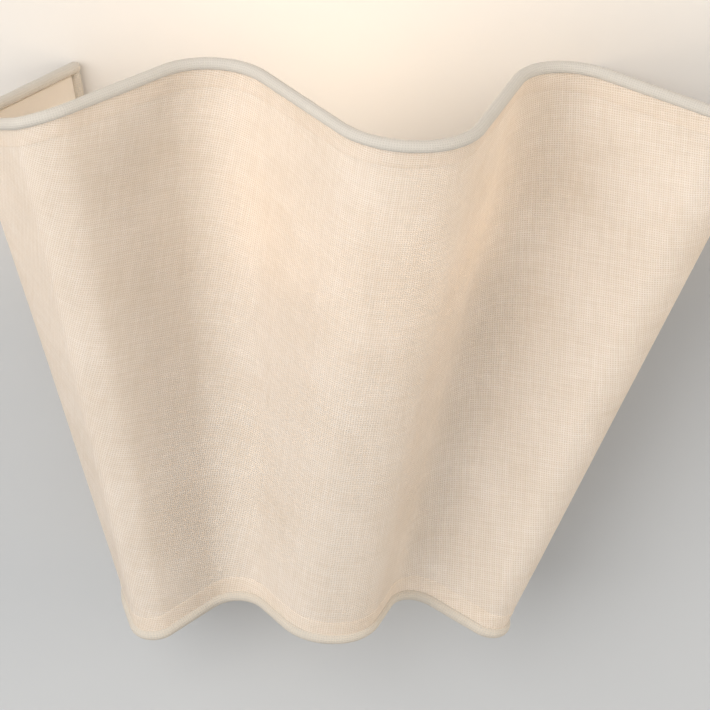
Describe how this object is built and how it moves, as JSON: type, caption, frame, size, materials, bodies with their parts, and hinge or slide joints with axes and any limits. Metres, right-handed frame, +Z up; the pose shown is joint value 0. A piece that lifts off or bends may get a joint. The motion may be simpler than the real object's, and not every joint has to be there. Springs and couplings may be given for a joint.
{
  "type": "fabric shade wall light",
  "caption": "Wall light with a wavy tapered linen shade, open at top and bottom, clipped to a round back plate that carries an upward bulb.",
  "frame": {"origin": "centre of the wall bracket's slots at the back plate's rear face, on the wall", "axes": "+Z up, +Y into the wall, +X to the right as seen from the room"},
  "size_m": [0.291, 0.1562, 0.2403],
  "materials": {
    "linen": "woven natural linen, matt",
    "rolled_linen": "woven linen, rolled over a wire, matt",
    "lining": "translucent white sheet, matt",
    "frame_wire": "white powder coat",
    "white_metal": "white powder coat, satin",
    "zinc_steel": "zinc plated",
    "spring_steel": "bright spring steel",
    "brass": "bright",
    "holder_plastic": "white thermoplastic",
    "nickel": "nickel plated",
    "bulb_plastic": "white",
    "bulb_insulation": "black glass-like",
    "board": "aluminium-backed board",
    "opal": "opal, lit warm white",
    "terminal_plastic": "natural nylon",
    "live_insulation": "brown",
    "neutral_insulation": "blue",
    "earth_insulation": "green"
  },
  "bodies": {
    "root": {"wall_bracket": "zinc_steel", "plate_screws": "nickel", "back_plate": "white_metal", "shade_clips": "spring_steel", "clip_rivets": "zinc_steel", "lamp_arm": "white_metal", "arm_inner_nut": "brass", "arm_collar": "white_metal", "holder_cap": "holder_plastic", "holder_sleeve": "holder_plastic", "holder_core": "holder_plastic", "holder_shell": "brass", "holder_contact": "brass", "terminal_block": "terminal_plastic", "terminal_screws": "brass", "block_screw": "zinc_steel", "live_lead": "live_insulation", "neutral_lead": "neutral_insulation", "earth_lead": "earth_insulation", "earth_lug": "brass", "earth_screw": "brass"},
    "shade": {"linen_cover": "linen", "left_lining": "lining", "front_lining": "lining", "right_lining": "lining", "top_ring_wire": "frame_wire", "bottom_ring_wire": "frame_wire", "top_rim_roll": "rolled_linen", "bottom_rim_roll": "rolled_linen", "top_hem": "linen", "bottom_hem": "linen", "left_upright": "frame_wire", "right_upright": "frame_wire", "left_edge_roll": "rolled_linen", "right_edge_roll": "rolled_linen", "carrier_strap": "white_metal"},
    "bulb": {"bulb_cap": "nickel", "bulb_insulator": "bulb_insulation", "bulb_tip": "brass", "bulb_collar": "bulb_plastic", "bulb_board": "board", "bulb_globe": "opal"}
  },
  "joints": [
    {"name": "shade_pull", "type": "slide", "parent": "root", "child": "shade", "axis": [0, -1, 0], "range_m": [0, 0.115]},
    {"name": "bulb_lift", "type": "slide", "parent": "root", "child": "bulb", "axis": [0, 0, 1], "range_m": [0, 0.04]}
  ]
}
